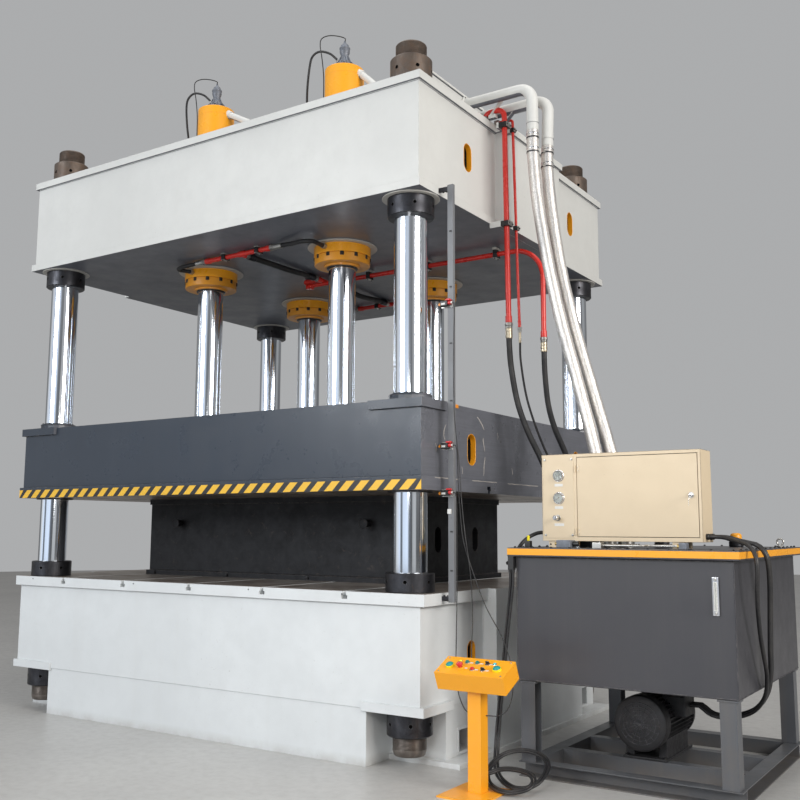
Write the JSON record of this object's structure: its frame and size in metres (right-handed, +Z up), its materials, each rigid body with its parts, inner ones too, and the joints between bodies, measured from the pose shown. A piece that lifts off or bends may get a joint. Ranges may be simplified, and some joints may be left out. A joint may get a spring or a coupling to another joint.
{
  "type": "hydraulic press",
  "caption": "Four-column hydraulic press with a ribbed bed, a sliding ram on hanging cylinders, a separate oil power unit with hoses, and an operator stand.",
  "frame": {"origin": "on the floor, at the middle of the bed's underside", "axes": "+X along the wide front to the operator's right, +Y from the front to the back, +Z up"},
  "size_m": [6.3968, 3.66, 5.8],
  "materials": {
    "white_paint": "semi-gloss enamel",
    "blue_grey_paint": "gloss enamel",
    "yellow_paint": "gloss enamel",
    "hard_chrome": "ground and plated",
    "blacked_steel": "black oxide",
    "raw_steel": "machined, lightly rusted",
    "dark_steel": "oiled, unpainted",
    "grey_steel": "grey primer",
    "tank_grey_paint": "semi-gloss enamel",
    "cream_enamel": "powder coat",
    "red_paint": "gloss enamel",
    "black_rubber": "smooth hose cover",
    "silver_braid": "braided steel wire",
    "teal_plastic": "moulded",
    "red_plastic": "moulded",
    "black_plastic": "moulded"
  },
  "bodies": {
    "frame": {"bed": "white_paint", "bolster": "dark_steel", "bottom_nut_front_left": "blacked_steel", "bottom_nut_front_right": "blacked_steel", "bottom_nut_rear_left": "blacked_steel", "bottom_nut_rear_right": "blacked_steel", "cabinet": "cream_enamel", "cabinet_cable_a": "black_rubber", "cabinet_cable_b": "black_rubber", "column_front_left": "hard_chrome", "column_front_right": "hard_chrome", "column_rear_left": "hard_chrome", "column_rear_right": "hard_chrome", "console": "yellow_paint", "console_cable_a": "black_rubber", "console_cable_b": "black_rubber", "crown": "white_paint", "cylinder_front_left": "yellow_paint", "cylinder_front_right": "yellow_paint", "cylinder_rear_left": "yellow_paint", "cylinder_rear_right": "yellow_paint", "feed_hose": "black_rubber", "feed_pipe": "red_paint", "gland_ring_front_left": "yellow_paint", "gland_ring_front_right": "yellow_paint", "gland_ring_rear_left": "yellow_paint", "gland_ring_rear_right": "yellow_paint", "pressure_hose": "black_rubber", "pressure_pipe": "red_paint", "pump_motor": "dark_steel", "return_hose_a": "silver_braid", "return_hose_b": "silver_braid", "switch_post": "grey_steel", "tank": "tank_grey_paint", "tank_lid": "yellow_paint", "top_nut_front_left": "raw_steel", "top_nut_front_right": "raw_steel", "top_nut_rear_left": "raw_steel", "top_nut_rear_right": "raw_steel", "top_tank": "white_paint", "upper_collar_front_left": "blacked_steel", "upper_collar_front_right": "blacked_steel", "upper_collar_rear_left": "blacked_steel", "upper_collar_rear_right": "blacked_steel"},
    "slide": {"slide": "blue_grey_paint", "piston_rod_front_left": "hard_chrome", "piston_rod_front_right": "hard_chrome", "piston_rod_rear_left": "hard_chrome", "piston_rod_rear_right": "hard_chrome"},
    "cabinet_door": {"cabinet_door": "cream_enamel"},
    "door_lock": {"door_lock": "hard_chrome"},
    "emergency_stop": {"emergency_stop": "red_plastic"},
    "palm_button_left": {"palm_button_left": "teal_plastic"},
    "palm_button_right": {"palm_button_right": "teal_plastic"},
    "push_button_a": {"push_button_a": "teal_plastic"},
    "push_button_b": {"push_button_b": "teal_plastic"},
    "push_button_red": {"push_button_red": "red_plastic"},
    "regulator_knob": {"regulator_knob": "hard_chrome"},
    "selector_lower": {"selector_lower": "black_plastic"},
    "selector_upper": {"selector_upper": "black_plastic"}
  },
  "joints": [
    {"name": "slide_travel", "type": "slide", "parent": "frame", "child": "slide", "axis": [0, 0, 1], "range_m": [0, 1.2]},
    {"name": "cabinet_door_hinge", "type": "hinge", "parent": "frame", "child": "cabinet_door", "pos_m": [2.957, -1, 1.795], "axis": [0, 0, -1], "range_deg": [0, 110]},
    {"name": "door_lock_turn", "type": "hinge", "parent": "cabinet_door", "child": "door_lock", "pos_m": [3.724, -1, 1.796], "axis": [0, -1, 0], "range_deg": [0, 90]},
    {"name": "regulator_knob_turn", "type": "hinge", "parent": "frame", "child": "regulator_knob", "pos_m": [2.815, -1, 1.655], "axis": [0, -1, 0], "continuous": true},
    {"name": "palm_button_left_press", "type": "slide", "parent": "frame", "child": "palm_button_left", "axis": [0, 0.4067, -0.9135], "range_m": [0, 0.006], "stiffness_N_per_m": 800},
    {"name": "palm_button_right_press", "type": "slide", "parent": "frame", "child": "palm_button_right", "axis": [0, 0.4067, -0.9135], "range_m": [0, 0.006], "stiffness_N_per_m": 800},
    {"name": "emergency_stop_press", "type": "slide", "parent": "frame", "child": "emergency_stop", "axis": [0, 0.4067, -0.9135], "range_m": [0, 0.005], "stiffness_N_per_m": 1200},
    {"name": "push_button_red_press", "type": "slide", "parent": "frame", "child": "push_button_red", "axis": [0, 0.4067, -0.9135], "range_m": [0, 0.004], "stiffness_N_per_m": 500},
    {"name": "push_button_a_press", "type": "slide", "parent": "frame", "child": "push_button_a", "axis": [0, 0.4067, -0.9135], "range_m": [0, 0.004], "stiffness_N_per_m": 500},
    {"name": "push_button_b_press", "type": "slide", "parent": "frame", "child": "push_button_b", "axis": [0, 0.4067, -0.9135], "range_m": [0, 0.004], "stiffness_N_per_m": 500},
    {"name": "selector_upper_turn", "type": "hinge", "parent": "frame", "child": "selector_upper", "pos_m": [2.687, -1.78296, 0.76377], "axis": [0, -0.4067, 0.9135], "range_deg": [-45, 45]},
    {"name": "selector_lower_turn", "type": "hinge", "parent": "frame", "child": "selector_lower", "pos_m": [2.687, -1.84691, 0.7353], "axis": [0, -0.4067, 0.9135], "range_deg": [-45, 45]}
  ]
}
